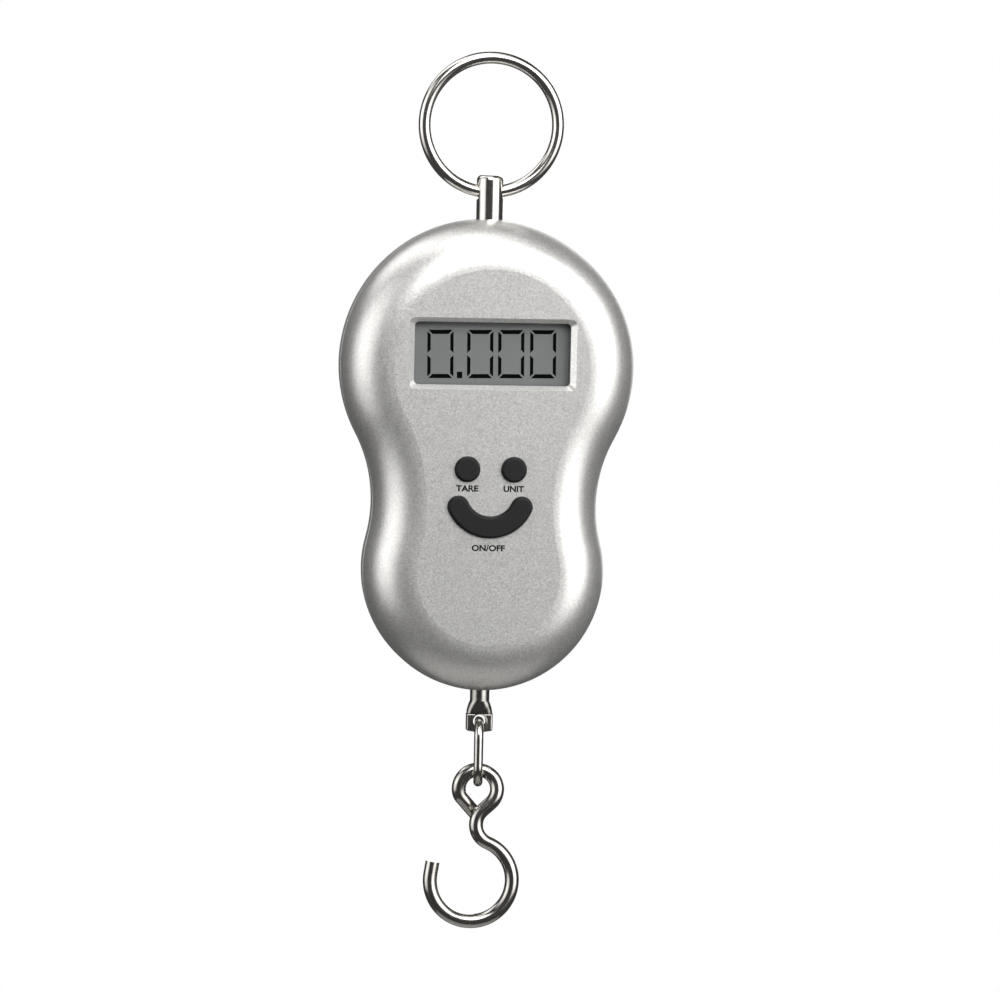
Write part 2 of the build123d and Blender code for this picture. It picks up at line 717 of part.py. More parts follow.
# ---------------------------------------------------------------- batteries and contacts
plate_hi = bay_in_top - plate_t
plate_lo = bay_in_low + plate_t
cans = []
sleeves = []
springs = []
for side, up in ((-1, 1), (1, -1)):
    x = side * battery_x
    if up > 0:
        can_hi = plate_hi - battery_nub
        spring_hi = can_hi - battery_can_long
    else:
        can_hi = plate_hi - spring_long
        spring_hi = plate_hi
    can_lo = can_hi - battery_can_long
    can = post(x, battery_y, battery_d - 0.4, can_hi, can_lo)
    nub_z = can_hi if up > 0 else can_lo - battery_nub
    can += post(x, battery_y, 3.8, nub_z + battery_nub, nub_z)
    cans.append(can)
    sleeve = post(x, battery_y, battery_d, can_hi - 0.3, can_lo + 0.3)
    sleeve -= post(x, battery_y, battery_d - 0.4, can_hi, can_lo)
    sleeves.append(sleeve)
    coil_wire = 0.5
    turns = 2.5
    tall = spring_long - coil_wire - 0.02
    coil = Pos(x, battery_y, spring_hi - spring_long + coil_wire / 2 + 0.01)
    coil *= Helix(tall / turns, tall, 2.6)
    spring = sweep(
        Plane(coil @ 0, z_dir=coil % 0) * Circle(coil_wire / 2), path=coil, is_frenet=True
    )
    springs.append(spring)
save("battery_cans", *cans)
save("battery_sleeves", *sleeves)
save("battery_springs", *springs)

plates = []
for side in (-1, 1):
    x = side * battery_x
    plate = block(x - 4.0, x + 4.0, 2.7, back_in - 2.4, plate_hi, bay_in_top)
    tail_x = side * 3.5
    plate += block(tail_x - 0.6, tail_x + 0.6, 6.5, 6.8, plate_hi, bay_top + 1.4)
    plates.append(plate)
bridge = block(-2.6, 2.6, 6.1, back_in - 1.0, bay_in_low, plate_lo)
for side in (-1, 1):
    x = side * battery_x
    bridge += block(x - 4.0, x + 4.0, 2.7, back_in - 1.0, bay_in_low, plate_lo)
plates.append(bridge)
save("battery_plates", *plates)

# ---------------------------------------------------------------- wires
solder_high = 0.6
wire_y = board_back + solder_high
wire_d = 0.8
wire_ends = []
battery_wires = []
for side in (-1, 1):
    z = bay_top + 0.85
    x0 = side * 3.5
    x1 = side * 6.4
    points = [(x0, 6.5, z), (x0, 2.6, z), (x1, 0.4, z), (x1, wire_y, z)]
    battery_wires.append(wire(points, [1.2, 1.2], wire_d))
    wire_ends.append((x1, z))
save("battery_wires", *battery_wires)

cell_wires = []
for k in range(4):
    z = cell_mid + 1.5 - 1.0 * k
    z_end = cell_mid - 2.0 - 2.0 * k
    x_end = cell_w / 2 + 3.0
    deep = cell_t / 2 + 1.2
    points = [
        (0.9 * (k % 2), cell_t / 2 - 0.2, z),
        (0.9 * (k % 2), deep, z),
        (x_end, deep, z_end),
        (x_end, wire_y, z_end),
    ]
    cell_wires.append(wire(points, [0.7, 1.2], 0.7))
    wire_ends.append((x_end, z_end))
save("cell_wires", *cell_wires)
joints = []
for x, z in wire_ends:
    dot = pin(x, z, 1.6, wire_y, board_back)
    joints.append(fillet(back_edges(dot), 0.35))
save("solder_joints", *joints)

# ---------------------------------------------------------------- screws
save(
    "case_screws",
    *[screw(x, z, case_screw_d, case_seat_y, face_in + 3.0, 4.5, 1.5, 1) for x, z in case_screws],
)
save(
    "cell_screws",
    *[
        screw(s * cell_screw_x, cell_screw_z, cell_screw_d, -cell_t / 2, back_in - 1.8, 4.4, 1.5, -1)
        for s in (-1, 1)
    ],
)
save(
    "board_screws",
    *[
        screw(x, z, board_screw_d, board_back, face_in + 1.0, 3.4, 1.1, 1)
        for x, z in board_screws
    ],
)
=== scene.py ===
"""Digital luggage scale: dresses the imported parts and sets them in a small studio.

The scale hangs upright, front face towards -Y, Z up, with the inner top of its hand ring at
the origin. Lengths are in metres unless a name ends in _mm.
"""

import json
import logging
import math
from collections.abc import Sequence
from dataclasses import dataclass
from enum import Enum
from typing import Any

import bmesh
import bpy
from mathutils import Matrix, Vector

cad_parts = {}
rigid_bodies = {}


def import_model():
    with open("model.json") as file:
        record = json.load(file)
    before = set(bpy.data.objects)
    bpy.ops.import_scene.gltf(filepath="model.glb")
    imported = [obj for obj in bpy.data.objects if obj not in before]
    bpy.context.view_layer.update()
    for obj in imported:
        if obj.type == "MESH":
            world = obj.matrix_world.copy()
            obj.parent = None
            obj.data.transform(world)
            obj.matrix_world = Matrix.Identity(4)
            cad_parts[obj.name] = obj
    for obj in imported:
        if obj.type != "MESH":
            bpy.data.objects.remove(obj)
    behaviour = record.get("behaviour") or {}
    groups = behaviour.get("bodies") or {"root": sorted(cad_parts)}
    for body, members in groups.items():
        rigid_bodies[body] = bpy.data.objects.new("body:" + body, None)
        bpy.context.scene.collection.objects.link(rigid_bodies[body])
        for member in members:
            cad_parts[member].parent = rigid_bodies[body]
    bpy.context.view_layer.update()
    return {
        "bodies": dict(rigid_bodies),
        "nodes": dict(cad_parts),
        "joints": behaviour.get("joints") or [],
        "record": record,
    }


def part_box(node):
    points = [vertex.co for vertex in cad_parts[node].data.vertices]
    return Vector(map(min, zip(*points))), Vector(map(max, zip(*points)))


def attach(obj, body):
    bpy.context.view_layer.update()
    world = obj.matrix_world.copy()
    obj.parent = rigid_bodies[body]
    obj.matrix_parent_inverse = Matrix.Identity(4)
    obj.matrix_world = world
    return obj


log = logging.getLogger("luggage_scale")
MM = 0.001
Point = tuple[float, float]
Output = tuple[bpy.types.Node, str | int]


# ------------------------------------------------------------------ colour and nodes
def linear(hex_colour: str, alpha: float = 1.0) -> tuple[float, float, float, float]:
    """Turn an sRGB hex colour into the linear one that shaders take.

    Args:
        hex_colour: six hex digits, with or without a leading #.
        alpha: fourth value to put with it.

    Returns:
        Linear red, green, blue and the alpha.
    """
    digits = hex_colour.lstrip("#")
    parts = [int(digits[i : i + 2], 16) / 255 for i in (0, 2, 4)]
    red, green, blue = (p / 12.92 if p <= 0.04045 else ((p + 0.055) / 1.055) ** 2.4 for p in parts)
    return (red, green, blue, alpha)


def add_node(
    tree: bpy.types.NodeTree,
    kind: str,
    settings: dict[str | int, Any] | None = None,
    links: dict[str | int, Output] | None = None,
) -> bpy.types.Node:
    """Add one node with its settings and its incoming links.

    Args:
        tree: node tree to add it to.
        kind: type name of the node.
        settings: values for its inputs by socket name or number, or for its properties.
        links: input socket to the node and output socket that feed it.

    Returns:
        The new node.
    """
    node = tree.nodes.new(kind)
    for key, value in (settings or {}).items():
        if isinstance(key, int) or key in node.inputs:
            node.inputs[key].default_value = value
        else:
            setattr(node, key, value)
    for key, (source, socket) in (links or {}).items():
        tree.links.new(source.outputs[socket], node.inputs[key])
    return node


def per_metre(size_mm: float) -> float:
    """Return the texture scale that makes one feature size_mm across."""
    return 1.0 / (size_mm * MM)


# ------------------------------------------------------------------ finishes
# Brushed lines are 25 times as long as they are wide.
BRUSHED_STRETCH = (1.0, 1.0, 0.04)
# Octaves of the noise, and how strong the finer ones are.
CLOUDS = {"Detail": 3.0, "Roughness": 0.6}
# Size of a flake against the noise around it, and its share in the pattern.
FLAKE_SIZE = 0.8
FLAKE_SHARE = 0.5


class Grain(Enum):
    """How a surface's colour and height wander."""

    MOTTLED = "soft cloudy noise"
    FLAKED = "separate bright flakes in lacquer"
    BRUSHED = "long fine lines along z"


@dataclass(frozen=True)
class Finish:
    """One material and the process that made its surface.

    The two shades, the two roughnesses and the height all follow one pattern. Its features are
    grain_mm across and bump_mm high, and spread is how much of it the shades fade over.
    """

    name: str
    dark: str
    light: str
    rough: tuple[float, float]
    grain_mm: float
    bump_mm: float = 0.004
    metallic: float = 0.0
    ior: float = 1.5
    alpha: float = 1.0
    spread: float = 0.5
    grain: Grain = Grain.MOTTLED

    def pattern(self, tree: bpy.types.NodeTree) -> Output:
        """Make the 0 to 1 pattern that drives colour, gloss and height.

        Args:
            tree: node tree of the material.

        Returns:
            The node and the socket that carry the pattern.
        """
        place = add_node(tree, "ShaderNodeTexCoord")
        source = (place, "Object")
        if self.grain is Grain.BRUSHED:
            stretch = add_node(
                tree, "ShaderNodeMapping", {"Scale": BRUSHED_STRETCH}, {"Vector": source}
            )
            source = (stretch, "Vector")
        noise = add_node(
            tree,
            "ShaderNodeTexNoise",
            {"Scale": per_metre(self.grain_mm), **CLOUDS},
            {"Vector": source},
        )
        if self.grain is not Grain.FLAKED:
            return (noise, "Fac")
        cells = add_node(
            tree,
            "ShaderNodeTexVoronoi",
            {"Scale": per_metre(self.grain_mm * FLAKE_SIZE)},
            {"Vector": source},
        )
        shade = add_node(tree, "ShaderNodeSeparateColor", links={"Color": (cells, "Color")})
        both = add_node(
            tree,
            "ShaderNodeMix",
            {"data_type": "FLOAT", "Factor": FLAKE_SHARE},
            {"A": (noise, "Fac"), "B": (shade, "Red")},
        )
        return (both, "Result")

    def colour(self, tree: bpy.types.NodeTree, pattern: Output) -> Output:
        """Spread the two shades over the pattern.

        Args:
            tree: node tree of the material.
            pattern: node and socket of the pattern.

        Returns:
            The node and the socket that carry the colour.
        """
        ramp = add_node(tree, "ShaderNodeValToRGB", links={"Fac": pattern})
        low, high = ramp.color_ramp.elements
        low.position, low.color = 0.5 - self.spread / 2, linear(self.dark)
        high.position, high.color = 0.5 + self.spread / 2, linear(self.light)
        return (ramp, "Color")

    def build(self) -> bpy.types.Material:
        """Build the material.

        Returns:
            A node material with colour, roughness and height from one pattern.
        """
        material = bpy.data.materials.new(self.name)
        material.use_nodes = True
        tree = material.node_tree
        tree.nodes.clear()
        pattern = self.pattern(tree)
        colour = self.colour(tree, pattern)
        rough = add_node(
            tree,
            "ShaderNodeMapRange",
            {"To Min": self.rough[0], "To Max": self.rough[1]},
            {"Value": pattern},
        )
        bump = add_node(
            tree,
            "ShaderNodeBump",
            {"Strength": 1.0, "Distance": self.bump_mm * MM},
            {"Height": pattern},
        )
        settings = {
            "Metallic": self.metallic,
            "IOR": self.ior,
            "Alpha": self.alpha,
        }
        links = {
            "Base Color": colour,
            "Roughness": (rough, "Result"),
            "Normal": (bump, "Normal"),
        }
        shader = add_node(tree, "ShaderNodeBsdfPrincipled", settings, links)
        add_node(tree, "ShaderNodeOutputMaterial", links={"Surface": (shader, "BSDF")})
        return material


@dataclass(frozen=True)
class PaintedShadeRimFinish(Finish):
    """Finish whose rounded rim and sides carry painted shade, darker than its flat front."""

    # painted shade: near-black colour given to the rim and sides where they turn away from the
    # front
    rim: str = "#020202"
    # y of the surface normal where the front's colour starts to fade into the painted shade and
    # where the painted shade is full
    fade: tuple[float, float] = (-0.99, -0.75)

    def colour(self, tree: bpy.types.NodeTree, pattern: Output) -> Output:
        """Fade the front's shades to the rim's painted shade where the surface turns away from the
        front.

        Args:
            tree: node tree of the material.
            pattern: node and socket of the pattern.

        Returns:
            The node and the socket that carry the colour.
        """
        front = super().colour(tree, pattern)
        # painted shade: the colour darkens by how far the surface normal turns away from -Y
        place = add_node(tree, "ShaderNodeTexCoord")
        turn = add_node(tree, "ShaderNodeSeparateXYZ", links={"Vector": (place, "Normal")})
        painted_shade_share = add_node(
            tree,
            "ShaderNodeMapRange",
            {"From Min": self.fade[0], "From Max": self.fade[1]},
            {"Value": (turn, "Y")},
        )
        # sockets 6 and 7 are the two colours and output 2 the mixed one
        mixed = add_node(
            tree,
            "ShaderNodeMix",
            {"data_type": "RGBA", 7: linear(self.rim)},
            {"Factor": (painted_shade_share, "Result"), 6: front},
        )
        return (mixed, 2)


# Silver lacquer sprayed on moulded ABS: satin, with aluminium flakes that twinkle. Real flakes
# are about 0.05 mm; drawn at 0.3 mm so that they show.
SPRAYED_SILVER = Finish(
    "ABS_sprayed_silver",
    "#C6C5C3",
    "#EDECE9",
    rough=(0.3, 0.42),
    grain_mm=0.3,
    bump_mm=0.01,
    metallic=0.8,
    spread=0.8,
    grain=Grain.FLAKED,
)
# Bright nickel plated over drawn wire and turned rod: a clean mirror with faint waviness.
PLATED_NICKEL = Finish(
    "steel_nickel_plated",
    "#CFCCC7",
    "#DAD7D2",
    rough=(0.12, 0.18),
    grain_mm=1.5,
    bump_mm=0.001,
    metallic=1.0,
)
# Same plate over wire that was bent cold: slightly more ripple than on the turned post.
PLATED_WIRE = Finish(
    "steel_wire_nickel_plated",
    "#B2AFAB",
    "#C4C1BC",
    rough=(0.14, 0.2),
    grain_mm=1.2,
    bump_mm=0.0015,
    metallic=1.0,
)
# Drawn steel rod with its end pressed flat: duller and greyer than the plate, a little cloudy.
PRESSED_STEEL = Finish(
    "steel_drawn_pressed",
    "#8F8C88",
    "#B2AFAA",
    rough=(0.16, 0.3),
    grain_mm=0.8,
    bump_mm=0.003,
    metallic=1.0,
)
# Black silicone rubber, moulded: a charcoal satin face, and a rim made blacker with painted shade.
MOULDED_SILICONE = PaintedShadeRimFinish(
    "silicone_black_painted_shade_rim",
    "#131214",
    "#1D1C1E",
    rough=(0.46, 0.58),
    grain_mm=0.35,
    bump_mm=0.006,
    ior=1.33,
)
# Clear acrylic, injection moulded: nearly all see-through, a faint wet highlight.
CLEAR_ACRYLIC = Finish(
    "acrylic_clear_moulded",
    "#101211",
    "#181A19",
    rough=(0.02, 0.05),
    grain_mm=8.0,
    bump_mm=0.0,
    ior=1.49,
    alpha=0.05,
)
# Display glass: faint grey-green tint, seen only at its edges.
DISPLAY_GLASS = Finish(
    "glass_float_display",
    "#8D9490",
    "#9AA19C",
    rough=(0.05, 0.08),
    grain_mm=6.0,
    bump_mm=0.0,
    ior=1.52,
    alpha=0.6,
)
# Grey polarising film over a matt reflector: flat grey with a very fine tooth.
POLARISER = Finish(
    "polariser_film_matt",
    "#707372",
    "#797C7B",
    rough=(0.6, 0.75),
    grain_mm=0.4,
    bump_mm=0.002,
    spread=0.9,
)
# Dark liquid crystal where a segment is driven: almost black, no gloss of its own.
LIQUID_CRYSTAL = Finish(
    "liquid_crystal_driven",
    "#020202",
    "#060606",
    rough=(0.6, 0.7),
    grain_mm=0.6,
    bump_mm=0.0,
    ior=1.1,
)
# Pad-printed black ink: dense and slightly satin.
PAD_INK = Finish(
    "ink_black_pad_printed",
    "#030303",
    "#080809",
    rough=(0.6, 0.75),
    grain_mm=0.2,
    bump_mm=0.001,
    ior=1.25,
)
# White silicone sealant, poured: soft white with slow lumps.
POURED_SEALANT = Finish(
    "silicone_white_poured", "#DEDED8", "#EEEEEA", rough=(0.4, 0.55), grain_mm=1.2, bump_mm=0.03
)
# Aluminium bar, milled: bright with fine cutter lines.
MILLED_ALUMINIUM = Finish(
    "aluminium_milled",
    "#C3C4C5",
    "#DADBDC",
    rough=(0.25, 0.4),
    grain_mm=0.3,
    bump_mm=0.004,
    metallic=1.0,
    grain=Grain.BRUSHED,
)
# Etched foil on amber film: copper-brown sheen.
GAUGE_FOIL = Finish(
    "polyimide_foil_etched", "#A8661C", "#C98A35", rough=(0.3, 0.5), grain_mm=0.4, bump_mm=0.003
)
# Glass-fibre board under green solder mask: glossy green with the weave just showing.
SOLDER_MASK = Finish(
    "FR4_green_solder_mask", "#0E4A22", "#1A6B35", rough=(0.22, 0.35), grain_mm=0.9, bump_mm=0.01
)
# Black epoxy drop over the chip: smooth and glossy.
CAST_EPOXY = Finish(
    "epoxy_black_cast", "#0A0A0A", "#151515", rough=(0.12, 0.22), grain_mm=1.5, bump_mm=0.01
)
# Fired ceramic chips: tan, matt.
FIRED_CERAMIC = Finish(
    "ceramic_fired_tan", "#7E6648", "#9B8260", rough=(0.5, 0.65), grain_mm=0.3, bump_mm=0.004
)
# Tinned sheet steel: soft grey shine.
TINNED_STEEL = Finish(
    "steel_tinned_sheet",
    "#B9BABB",
    "#D0D1D1",
    rough=(0.2, 0.34),
    grain_mm=0.6,
    bump_mm=0.003,
    metallic=1.0,
    grain=Grain.BRUSHED,
)
# Zinc-plated screws and washers: cool grey with a blue cast.
ZINC_PLATE = Finish(
    "steel_zinc_plated",
    "#A9ADB3",
    "#C6C9CC",
    rough=(0.22, 0.36),
    grain_mm=0.5,
    bump_mm=0.003,
    metallic=1.0,
)
# Moulded black nylon: low sheen.
MOULDED_NYLON = Finish(
    "nylon_black_moulded", "#101011", "#1B1B1C", rough=(0.4, 0.55), grain_mm=0.4, bump_mm=0.006
)
# Moulded white ABS: the display holder.
MOULDED_ABS = Finish(
    "ABS_white_moulded", "#DCDCD8", "#E8E8E5", rough=(0.35, 0.5), grain_mm=0.6, bump_mm=0.005
)
# Layered conductive rubber strips: pink with darker carbon specks, matt.
STRIP_RUBBER = Finish(
    "elastomer_layered", "#9C6A72", "#D2A2AA", rough=(0.5, 0.65), grain_mm=0.18, bump_mm=0.004
)
# Acetate adhesive tape: black and matt.
ADHESIVE_TAPE = Finish(
    "acetate_tape_black", "#0B0B0B", "#161616", rough=(0.6, 0.75), grain_mm=0.3, bump_mm=0.002
)
# Shrink film round each cell: glossy deep blue.
SHRINK_FILM = Finish(
    "PET_shrink_film_blue", "#12306E", "#1B418E", rough=(0.2, 0.32), grain_mm=2.0, bump_mm=0.004
)
# Nickel-plated spring steel contacts: yellowish shine.
SPRING_STEEL = Finish(
    "spring_steel_nickel_plated",
    "#BDB7AB",
    "#D2CDC2",
    rough=(0.2, 0.32),
    grain_mm=0.5,
    bump_mm=0.003,
    metallic=1.0,
)
# PVC insulation, extruded: glossy red.
PVC_INSULATION = Finish(
    "PVC_red_extruded", "#97170F", "#B4241A", rough=(0.28, 0.4), grain_mm=0.7, bump_mm=0.003
)
# White laminate board, rolled: pale and matt with a slow mottle.
ROLLED_LAMINATE = Finish(
    "laminate_white_rolled", "#E6E6E4", "#F0F0EE", rough=(0.5, 0.6), grain_mm=30.0, bump_mm=0.0
)
# Solder, reflowed: bright and a little frosty.
REFLOWED_SOLDER = Finish(
    "solder_reflowed",
    "#B7B9BA",
    "#D5D7D8",
    rough=(0.15, 0.3),
    grain_mm=0.4,
    bump_mm=0.006,
    metallic=1.0,
)

SLOT_FINISHES: dict[str, Finish] = {
    "silver_paint": SPRAYED_SILVER,
    "clear_lens": CLEAR_ACRYLIC,
    "black_tape": ADHESIVE_TAPE,
    "display_glass": DISPLAY_GLASS,
    "display_film": POLARISER,
    "strip_rubber": STRIP_RUBBER,
    "white_plastic": MOULDED_ABS,
    "board_green": SOLDER_MASK,
    "black_epoxy": CAST_EPOXY,
    "chip_ceramic": FIRED_CERAMIC,
    "tin_can": TINNED_STEEL,
    "black_plastic": MOULDED_NYLON,
    "key_rubber": MOULDED_SILICONE,
    "cell_aluminium": MILLED_ALUMINIUM,
    "gauge_foil": GAUGE_FOIL,
    "sealant": POURED_SEALANT,
    "nickel_plate": PLATED_NICKEL,
    "hook_plate": PLATED_WIRE,
    "rod_steel": PRESSED_STEEL,
    "zinc_steel": ZINC_PLATE,
    "contact_nickel": SPRING_STEEL,
    "battery_sleeve": SHRINK_FILM,
    "wire_pvc": PVC_INSULATION,
    "solder": REFLOWED_SOLDER,
}


class FinishRack:
    """Builds each finish once and hands it out."""

    def __init__(self) -> None:
        """Start with nothing built."""
        self.built: dict[str, bpy.types.Material] = {}

    def get(self, finish: Finish) -> bpy.types.Material:
        """Return the material of a finish, building it the first time.

        Args:
            finish: the finish wanted.

        Returns:
            Its material.
        """
        if finish.name not in self.built:
            self.built[finish.name] = finish.build()
        return self.built[finish.name]


# ------------------------------------------------------------------ mesh helpers
def mesh_piece(name: str, shape: bmesh.types.BMesh) -> bpy.types.Object:
    """Turn a bmesh into an object in the scene.

    Args:
        name: name of the piece.
        shape: its bmesh, which is freed.

    Returns:
        The new object.
    """
    bmesh.ops.recalc_face_normals(shape, faces=shape.faces)
    mesh = bpy.data.meshes.new(name)
    shape.to_mesh(mesh)
    shape.free()
    piece = bpy.data.objects.new(name, mesh)
    bpy.context.scene.collection.objects.link(piece)
    return piece


def add_plate(shape: bmesh.types.BMesh, outline: list[Point], y_front: float, thick: float) -> None:
    """Add a thin plate that faces the front.

    Args:
        shape: bmesh to add it to.
        outline: its corners in x and z.
        y_front: where its front face lies.
        thick: how far it reaches back.
    """
    corners = [shape.verts.new((x, y_front, z)) for x, z in outline]
    face = shape.faces.new(corners)
    grown = bmesh.ops.extrude_face_region(shape, geom=[face])
    moved = [item for item in grown["geom"] if isinstance(item, bmesh.types.BMVert)]
    bmesh.ops.translate(shape, verts=moved, vec=(0.0, thick, 0.0))


def dress(piece: bpy.types.Object, material: bpy.types.Material) -> None:
    """Give a piece one material in its first slot."""
    if piece.material_slots:
        piece.material_slots[0].material = material
    else:
        piece.data.materials.append(material)


def smooth(piece: bpy.types.Object) -> None:
    """Shade a piece's faces smooth."""
    for face in piece.data.polygons:
        face.use_smooth = True


# ------------------------------------------------------------------ sub-assemblies
@dataclass
class PackedParts:
    """The parts that come ready made, with the finish of their material slot."""

    frame: dict[str, Any]
    rack: FinishRack

    def dress_all(self) -> None:
        """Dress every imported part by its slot."""
        for row in self.frame["record"]["subparts"]:
            finish = SLOT_FINISHES[row["material_slot"]]
            part = self.frame["nodes"][row["node"]]
            dress(part, self.rack.get(finish))
            smooth(part)
            log.info("dressed %s in %s", row["node"], finish.name)


@dataclass
class DisplayDigits:
    """The driven segments of the four-digit display, reading zero."""

    rack: FinishRack
    digit_wide: float = 5.35 * MM
    digit_high: float = 9.84 * MM
    bar: float = 0.84 * MM
    post: float = 0.67 * MM
    gap: float = 0.22 * MM
    dot_wide: float = 1.1 * MM
    dot_high: float = 1.3 * MM
    thick: float = 0.02 * MM
    digit_mids: tuple[float, ...] = (-10.5 * MM, -2.35 * MM, 4.0 * MM, 10.55 * MM)
    dot_mid: float = -6.55 * MM
    # the ends of the uprights stand back from the bars by this many gaps
    notch: float = 1.4
    # the segments sit a little low and out of square with the window
    drop: float = 0.1 * MM
    lean: float = math.radians(-0.75)

    def bar_outline(self, mid_x: float, mid_z: float, side: int) -> list[Point]:
        """Outline of a top or bottom bar, mitred at both ends.

        Args:
            mid_x: middle of the digit.
            mid_z: middle height of the digit.
            side: 1 for the top bar, -1 for the bottom bar.

        Returns:
            Four corners in x and z.
        """
        outer_z = mid_z + side * self.digit_high / 2
        inner_z = outer_z - side * self.bar
        long_half = self.digit_wide / 2 - self.gap
        short_half = long_half - self.bar
        return [
            (mid_x - long_half, outer_z),
            (mid_x + long_half, outer_z),
            (mid_x + short_half, inner_z),
            (mid_x - short_half, inner_z),
        ]

    def post_outline(self, mid_x: float, mid_z: float, side: int, up: int) -> list[Point]:
        """Outline of one upright segment, mitred at both ends.

        Args:
            mid_x: middle of the digit.
            mid_z: middle height of the digit.
            side: 1 for the right edge, -1 for the left.
            up: 1 for the upper segment, -1 for the lower.

        Returns:
            Four corners in x and z.
        """
        outer_x = mid_x + side * self.digit_wide / 2
        inner_x = outer_x - side * self.post
        far = self.digit_high / 2 - self.gap * self.notch
        return [
            (outer_x, mid_z + up * self.gap),
            (outer_x, mid_z + up * far),
            (inner_x, mid_z + up * (far - self.post)),
            (inner_x, mid_z + up * (self.gap + self.post)),
        ]

    def build(self) -> None:
        """Build all segments as one thin piece on the front film."""
        low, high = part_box("lcd_films")
        mid_z = (low[2] + high[2]) / 2 - self.drop
        front = low[1] - self.thick
        shape = bmesh.new()
        for mid_x in self.digit_mids:
            for side in (-1, 1):
                add_plate(shape, self.bar_outline(mid_x, mid_z, side), front, self.thick)
                for up in (-1, 1):
                    add_plate(shape, self.post_outline(mid_x, mid_z, side, up), front, self.thick)
        half = self.dot_wide / 2
        base = mid_z - self.digit_high / 2
        dot = [
            (self.dot_mid - half, base),
            (self.dot_mid + half, base),
            (self.dot_mid + half, base + self.dot_high),
            (self.dot_mid - half, base + self.dot_high),
        ]
        add_plate(shape, dot, front, self.thick)
        bmesh.ops.rotate(
            shape,
            cent=(0.0, front, mid_z),
            matrix=Matrix.Rotation(self.lean, 3, "Y"),
            verts=shape.verts,
        )
        piece = mesh_piece("display_segments", shape)
        dress(piece, self.rack.get(LIQUID_CRYSTAL))
        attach(piece, "casing")
        log.info("built display_segments: %d digits and a point", len(self.digit_mids))


@dataclass
class KeyNames:
    """Names of the keys' jobs, pad printed under each key."""

    rack: FinishRack
    cap_high: float = 1.27 * MM
    thick: float = 0.02 * MM
    tare_wide: float = 4.6 * MM
    unit_wide: float = 4.2 * MM
    power_wide: float = 6.8 * MM
    power_x: float = -0.2 * MM
    below_key: float = 3.9 * MM
    below_smile: float = 4.2 * MM
    # both as shares of the letters' size: how much bolder they are, and where points are one
    bolder: float = 0.033
    weld: float = 0.0005

    def print_word(self, word: str, mid_x: float, mid_z: float, wide: float) -> None:
        """Print one word on the front face.

        Args:
            word: what to print.
            mid_x: middle of the word.
            mid_z: middle of its capitals.
            wide: overall width.
        """
        curve = bpy.data.curves.new(word, "FONT")
        curve.body = word
        curve.size = 1.0
        curve.offset = self.bolder
        source = bpy.data.objects.new(word, curve)
        flat = bpy.data.meshes.new_from_object(source)
        bpy.data.objects.remove(source)
        bpy.data.curves.remove(curve)
        xs = [v.co.x for v in flat.vertices]
        ys = [v.co.y for v in flat.vertices]
        low_x, high_x, low_y, high_y = min(xs), max(xs), min(ys), max(ys)
        face_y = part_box("front_cover")[0][1]
        shape = bmesh.new()
        shape.from_mesh(flat)
        bpy.data.meshes.remove(flat)
        bmesh.ops.remove_doubles(shape, verts=shape.verts, dist=self.weld)
        for corner in shape.verts:
            across = (corner.co.x - low_x) / (high_x - low_x) - 0.5
            up = (corner.co.y - low_y) / (high_y - low_y) - 0.5
            corner.co = Vector(
                (mid_x + across * wide, face_y - self.thick, mid_z + up * self.cap_high)
            )
        grown = bmesh.ops.extrude_face_region(shape, geom=list(shape.faces))
        moved = [item for item in grown["geom"] if isinstance(item, bmesh.types.BMVert)]
        bmesh.ops.translate(shape, verts=moved, vec=(0.0, self.thick, 0.0))
        name = "print_" + "".join(c for c in word.lower() if c.isalpha())
        piece = mesh_piece(name, shape)
        dress(piece, self.rack.get(PAD_INK))
        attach(piece, "casing")
        log.info("printed %s", name)

    def build(self) -> None:
        """Print all three names."""
        for node, word, wide in (
            ("tare_key", "TARE", self.tare_wide),
            ("unit_key", "UNIT", self.unit_wide),
        ):
            low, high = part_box(node)
            mid_z = (low[2] + high[2]) / 2
            self.print_word(word, (low[0] + high[0]) / 2, mid_z - self.below_key, wide)
        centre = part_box("power_plunger")
        smile_z = (centre[0][2] + centre[1][2]) / 2
        self.print_word("ON/OFF", self.power_x, smile_z - self.below_smile, self.power_wide)


# ------------------------------------------------------------------ studio
@dataclass
class SoftBox:
    """One rectangular soft light aimed at the scale."""

    name: str
    place: tuple[float, float, float]
    wide: float
    high: float
    radiance: float
    spread: float = math.radians(80)

    def build(self, target: Vector) -> None:
        """Set the light up.

        Args:
            target: point that it faces.
        """
        lamp = bpy.data.lights.new(self.name, "AREA")
        lamp.shape = "RECTANGLE"
        lamp.size = self.wide
        lamp.size_y = self.high
        lamp.energy = self.radiance * math.pi * self.wide * self.high
        lamp.spread = self.spread
        holder = bpy.data.objects.new(self.name, lamp)
        holder.location = self.place
        holder.visible_camera = False
        aim = target - Vector(self.place)
        holder.rotation_euler = aim.to_track_quat("-Z", "Y").to_euler()
        bpy.context.scene.collection.objects.link(holder)


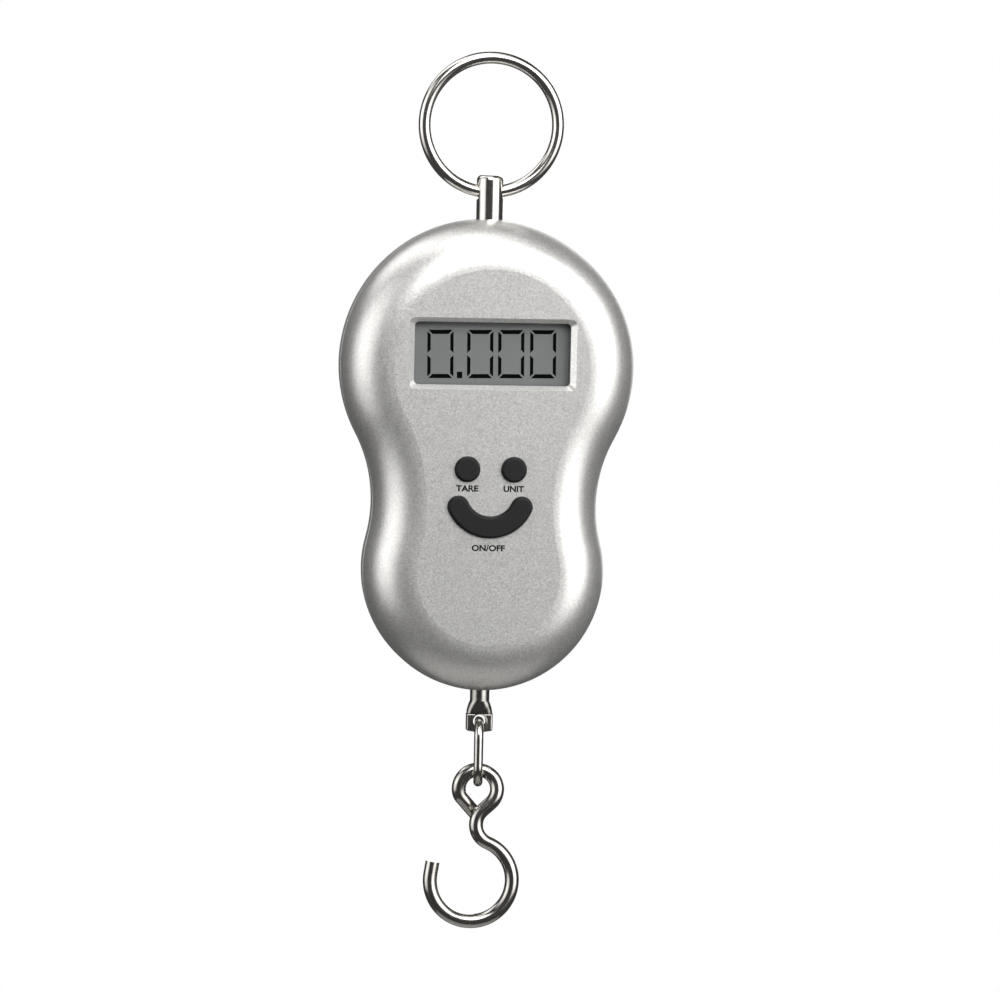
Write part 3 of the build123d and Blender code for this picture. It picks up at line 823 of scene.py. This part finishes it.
@dataclass
class Studio:
    """Pale floor, soft boxes, white surround and a long-lens camera."""

    rack: FinishRack
    frame_wide: float = 0.2055
    middle: tuple[float, float, float] = (3.35 * MM, 0.0, -88.6 * MM)
    azimuth: float = math.radians(-6.5)
    elevation: float = math.radians(3.5)
    roll: float = math.radians(1.2)
    distance: float = 1.3
    sensor: float = 36.0
    sight: float = 10.0
    aim: tuple[float, float, float] = (0.0, 0.0, -80.0 * MM)
    floor_z: float = -0.60
    floor_r: float = 0.34
    # rings of the floor: share of its radius, and rise in metres
    floor_rings: tuple[Point, ...] = ((0.6, 0.0), (0.93, 0.0), (0.985, 0.004), (1.0, 0.016))
    floor_steps: int = 96
    # strength of the surround in reflections and to the eye
    surround_dim: float = 0.06
    surround_bright: float = 1.0

    def build_floor(self) -> None:
        """Lay a pale round floor under the scale, with a turned-up rim."""
        shape = bmesh.new()
        turns = [2 * math.pi * k / self.floor_steps for k in range(self.floor_steps)]
        loops: list[list[bmesh.types.BMVert]] = []
        for share, rise in self.floor_rings:
            radius = self.floor_r * share
            height = self.floor_z + rise
            places = [(radius * math.cos(turn), radius * math.sin(turn), height) for turn in turns]
            loops.append([shape.verts.new(place) for place in places])
        shape.faces.new(loops[0])
        for inner, outer in zip(loops, loops[1:]):
            for k in range(self.floor_steps):
                after = (k + 1) % self.floor_steps
                shape.faces.new((inner[k], inner[after], outer[after], outer[k]))
        floor = mesh_piece("studio_floor", shape)
        smooth(floor)
        dress(floor, self.rack.get(ROLLED_LAMINATE))

    def build_surround(self) -> None:
        """White to the eye, dim to reflections, so that the bright plate keeps dark edges."""
        world = bpy.data.worlds.new("studio_surround")
        bpy.context.scene.world = world
        world.use_nodes = True
        tree = world.node_tree
        tree.nodes.clear()
        seen = add_node(tree, "ShaderNodeLightPath")
        white = linear("#FFFFFF")
        dim, bright = (
            add_node(tree, "ShaderNodeBackground", {"Color": white, "Strength": strength})
            for strength in (self.surround_dim, self.surround_bright)
        )
        # sockets 1 and 2 take the two shaders
        mixed = add_node(
            tree,
            "ShaderNodeMixShader",
            links={
                "Fac": (seen, "Is Camera Ray"),
                1: (dim, "Background"),
                2: (bright, "Background"),
            },
        )
        add_node(tree, "ShaderNodeOutputWorld", links={"Surface": (mixed, "Shader")})

    def build_lights(self) -> None:
        """Set six soft boxes round the scale and above it."""
        boxes = [
            SoftBox("box_right", (0.442, -0.405, 0.05), 0.70, 0.90, 0.76),
            SoftBox("box_left", (-0.569, -0.174, 0.01), 0.69, 0.82, 0.41),
            SoftBox("box_front_top", (0.06, -0.47, 0.28), 0.52, 0.40, 1.05),
            SoftBox("box_top", (-0.08, -0.11, 0.52), 0.80, 0.36, 0.41),
            SoftBox("box_high_left", (-0.37, 0.26, 0.44), 0.42, 0.42, 0.36),
            SoftBox("box_back", (0.30, 0.78, 0.15), 0.50, 0.70, 0.40),
        ]
        for box in boxes:
            box.build(Vector(self.aim))

    def build_camera(self) -> None:
        """Set the camera at the front, a little left and above, on a long lens."""
        lens = bpy.data.cameras.new("long_lens")
        lens.sensor_width = self.sensor
        lens.lens = self.sensor * self.distance / self.frame_wide
        lens.clip_end = self.sight
        camera = bpy.data.objects.new("long_lens", lens)
        flat = math.cos(self.elevation)
        away = Vector(
            (
                math.sin(self.azimuth) * flat,
                -math.cos(self.azimuth) * flat,
                math.sin(self.elevation),
            )
        )
        camera.location = Vector(self.middle) + away * self.distance
        camera.rotation_euler = (-away).to_track_quat("-Z", "Y").to_euler()
        camera.rotation_euler.rotate_axis("Z", self.roll)
        bpy.context.scene.collection.objects.link(camera)
        bpy.context.scene.camera = camera

    def build(self) -> None:
        """Set up the whole studio."""
        bpy.context.scene.view_settings.view_transform = "Standard"
        self.build_floor()
        self.build_surround()
        self.build_lights()
        self.build_camera()
        log.info("studio ready")


def main() -> None:
    """Build the dressed scale in its studio."""
    logging.basicConfig(level=logging.INFO, format="%(message)s")
    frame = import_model()
    rack = FinishRack()
    PackedParts(frame, rack).dress_all()
    DisplayDigits(rack).build()
    KeyNames(rack).build()
    Studio(rack).build()


if __name__ == "__main__":
    main()
